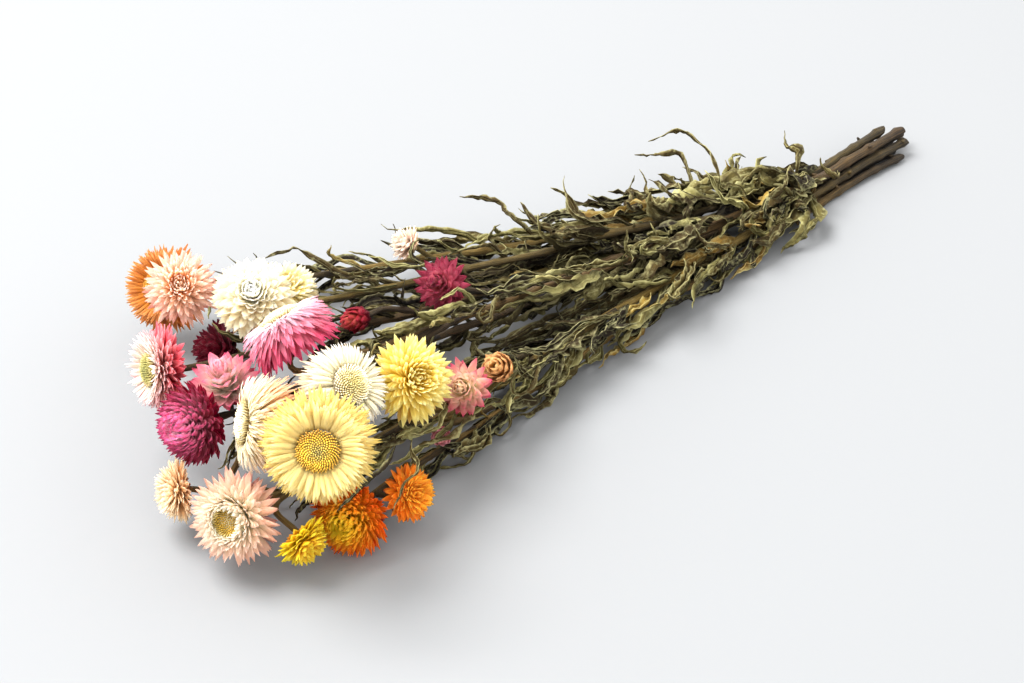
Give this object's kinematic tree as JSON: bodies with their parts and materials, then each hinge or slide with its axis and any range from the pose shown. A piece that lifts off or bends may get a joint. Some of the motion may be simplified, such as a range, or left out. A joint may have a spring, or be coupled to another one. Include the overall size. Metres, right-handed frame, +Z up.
{
  "type": "bunch of dried strawflowers",
  "caption": "Bunch of cut dried strawflowers lying down: branched leafy stems, packed at the cut ends and fanned out to papery blooms.",
  "frame": {"origin": "on the surface that the bunch lies on, under the centre of its bounding box", "axes": "+Z up from the surface, +X along the bunch from the blooms to the cut ends"},
  "size_m": [0.4902, 0.2278, 0.1025],
  "materials": {
    "foliage": "matte, dry olive and brown stems and leaves",
    "florets": "matte, dry golden-green florets",
    "bracts_apricot": "matte, papery golden apricot bracts",
    "bracts_peach": "matte, papery peach-pink bracts",
    "bracts_cream_tall": "matte, papery ivory bracts",
    "bracts_cream_far": "matte, papery pale yellow bracts",
    "bracts_blush": "matte, papery pale pink bracts",
    "bracts_crimson_low": "satin, papery dark crimson bracts",
    "bracts_rose_cup": "satin, papery rose bracts",
    "bracts_rose_swept": "satin, papery pink bracts",
    "bracts_magenta": "satin, papery magenta bracts",
    "bracts_cream_swept": "matte, papery cream bracts",
    "bracts_ivory_swept": "matte, papery ivory bracts",
    "bracts_lemon": "satin, papery lemon bracts",
    "bracts_yellow": "satin, papery yellow bracts",
    "bracts_rose_small": "satin, papery rose bracts",
    "bracts_crimson_small": "satin, papery crimson bracts",
    "bracts_crimson_bud": "satin, papery dark crimson bracts",
    "bracts_pale_bud": "matte, papery pale peach bracts",
    "bracts_tan": "matte, papery tan bracts",
    "bracts_peach_large": "matte, papery peach bracts",
    "bracts_yellow_low": "satin, papery bright yellow bracts",
    "bracts_orange": "satin, papery orange bracts",
    "bracts_orange_small": "satin, papery orange bracts",
    "bracts_pink_bud": "matte, papery dull pink bracts",
    "bracts_gold_bud": "matte, papery gold bracts"
  },
  "bodies": {
    "root": {"leafy_stem_1": "foliage", "leafy_stem_2": "foliage", "leafy_stem_3": "foliage", "leafy_stem_4": "foliage", "leafy_stem_5": "foliage", "leafy_stem_6": "foliage", "leafy_stem_7": "foliage", "leafy_stem_8": "foliage", "leafy_stem_9": "foliage", "bloom_apricot": "bracts_apricot", "bloom_peach": "bracts_peach", "bloom_cream_tall": "bracts_cream_tall", "bloom_cream_far": "bracts_cream_far", "bloom_blush": "bracts_blush", "bloom_crimson_low": "bracts_crimson_low", "bloom_rose_cup": "bracts_rose_cup", "bloom_rose_swept": "bracts_rose_swept", "bloom_magenta": "bracts_magenta", "bloom_cream_swept": "bracts_cream_swept", "bloom_ivory_swept": "bracts_ivory_swept", "bloom_lemon": "bracts_lemon", "bloom_yellow": "bracts_yellow", "bloom_rose_small": "bracts_rose_small", "bloom_crimson_small": "bracts_crimson_small", "bloom_crimson_bud": "bracts_crimson_bud", "bloom_pale_bud": "bracts_pale_bud", "bloom_tan": "bracts_tan", "bloom_peach_large": "bracts_peach_large", "bloom_yellow_low": "bracts_yellow_low", "bloom_orange": "bracts_orange", "bloom_orange_small": "bracts_orange_small", "bloom_pink_bud": "bracts_pink_bud", "bloom_gold_bud": "bracts_gold_bud", "disc_apricot": "florets", "disc_blush": "florets", "disc_rose_swept": "florets", "disc_cream_swept": "florets", "disc_ivory_swept": "florets", "disc_lemon": "florets", "disc_peach_large": "florets"}
  },
  "joints": []
}
